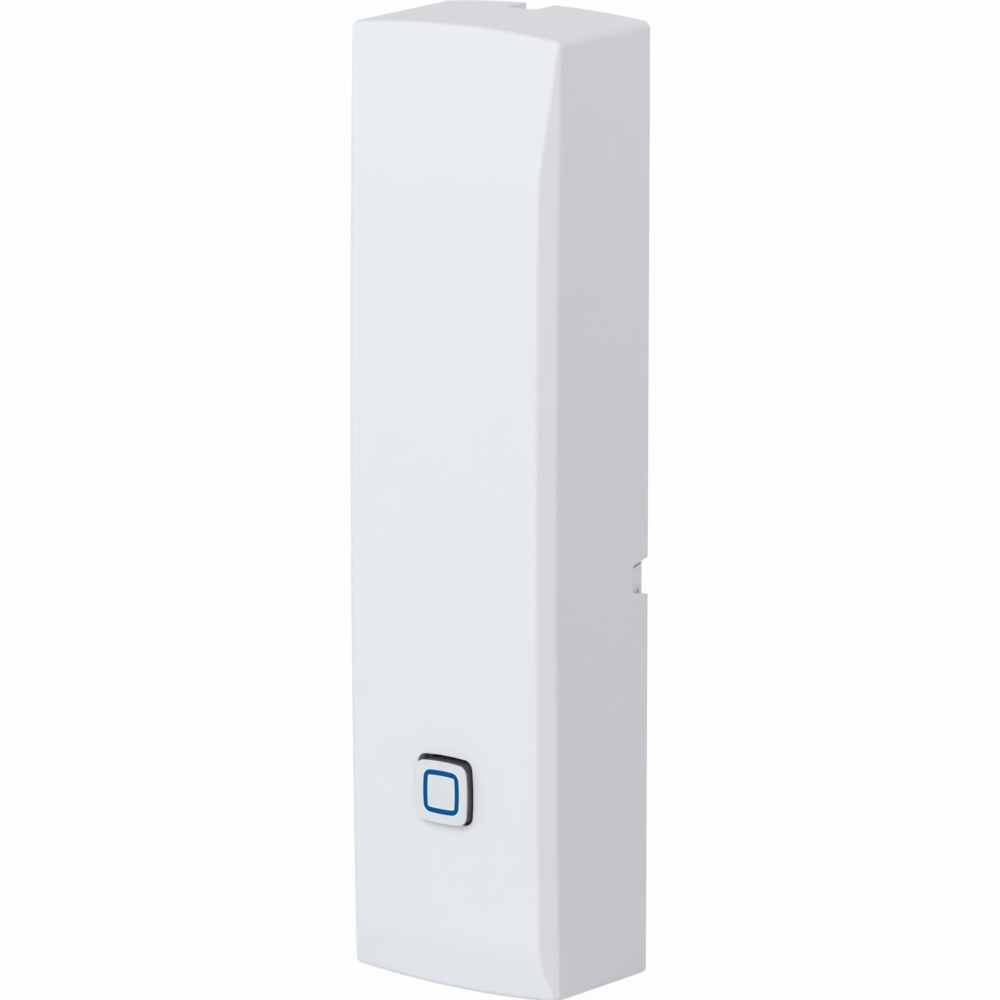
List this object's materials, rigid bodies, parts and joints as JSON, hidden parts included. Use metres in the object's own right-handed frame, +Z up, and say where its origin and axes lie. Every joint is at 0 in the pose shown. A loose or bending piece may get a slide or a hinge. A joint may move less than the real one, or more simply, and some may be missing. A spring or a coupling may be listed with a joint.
{
  "type": "wireless contact sensor",
  "caption": "Slim white wall-mounted wireless sensor housing with a lift-off cover, a square push button with a blue light ring, batteries and a circuit board.",
  "frame": {"origin": "centre of the back plate's wall face", "axes": "+X to the right of someone facing the front, -Y out of the wall towards them, +Z up"},
  "size_m": [0.0286, 0.0197, 0.11],
  "materials": {
    "housing_white": "fine-textured matt white ABS",
    "button_white": "smooth satin white plastic",
    "button_dark": "dark grey moulded plastic",
    "ring_blue": "translucent deep blue light guide, unlit",
    "guide_white": "natural white moulded plastic",
    "battery_wrap": "printed sleeve over a steel can",
    "contact_metal": "nickel-plated spring steel",
    "board_green": "green solder mask on glass epoxy",
    "screw_steel": "zinc-plated steel",
    "shield_metal": "tinned sheet steel",
    "can_aluminium": "drawn aluminium can on a black foot",
    "copper_wire": "enamelled copper wire",
    "chip_black": "moulded epoxy",
    "chip_ceramic": "sintered ceramic with tinned ends",
    "switch_black": "moulded nylon",
    "switch_stem_plastic": "moulded acetal",
    "led_lens": "clear cast epoxy",
    "terminal_green": "moulded nylon"
  },
  "bodies": {
    "cover": {"front_cover": "housing_white"},
    "base": {"back_plate": "housing_white", "battery_left": "battery_wrap", "battery_right": "battery_wrap", "contact_bridge": "contact_metal", "contact_negative": "contact_metal", "contact_positive": "contact_metal", "spring_lower": "contact_metal", "spring_upper": "contact_metal", "circuit_board": "board_green", "board_screws": "screw_steel", "radio_module": "board_green", "radio_shield": "shield_metal", "antenna": "copper_wire", "microcontroller": "chip_black", "crystal": "shield_metal", "voltage_converter": "chip_black", "inductor": "chip_black", "buffer_capacitor": "can_aluminium", "chip_capacitors": "chip_ceramic", "chip_resistors": "chip_black", "tamper_body": "switch_black", "switch_body": "switch_black", "switch_plate": "shield_metal", "status_leds": "led_lens", "button_guide": "guide_white", "terminal_body": "terminal_green", "terminal_clamps": "screw_steel", "terminal_screws": "screw_steel"},
    "tamper_plunger": {"tamper_plunger": "switch_stem_plastic"},
    "switch_stem": {"switch_stem": "switch_stem_plastic"},
    "button": {"button_body": "button_dark", "button_cap": "button_white", "button_centre": "button_white", "light_ring": "ring_blue"}
  },
  "joints": [
    {"name": "cover_pull", "type": "slide", "parent": "base", "child": "cover", "axis": [0, -1, 0], "range_m": [0, 0.03]},
    {"name": "button_press", "type": "slide", "parent": "base", "child": "button", "axis": [0, 1, 0], "range_m": [0, 0.0003], "stiffness_N_per_m": 2500},
    {"name": "stem_press", "type": "slide", "parent": "base", "child": "switch_stem", "axis": [0, 1, 0], "range_m": [0, 0.0003]},
    {"name": "tamper_release", "type": "slide", "parent": "base", "child": "tamper_plunger", "axis": [0, -1, 0], "range_m": [0, 0.001]}
  ],
  "couplings": [
    {"joint": "stem_press", "follows": "button_press", "ratio": 1},
    {"joint": "tamper_release", "follows": "cover_pull", "ratio": 0.033333}
  ]
}
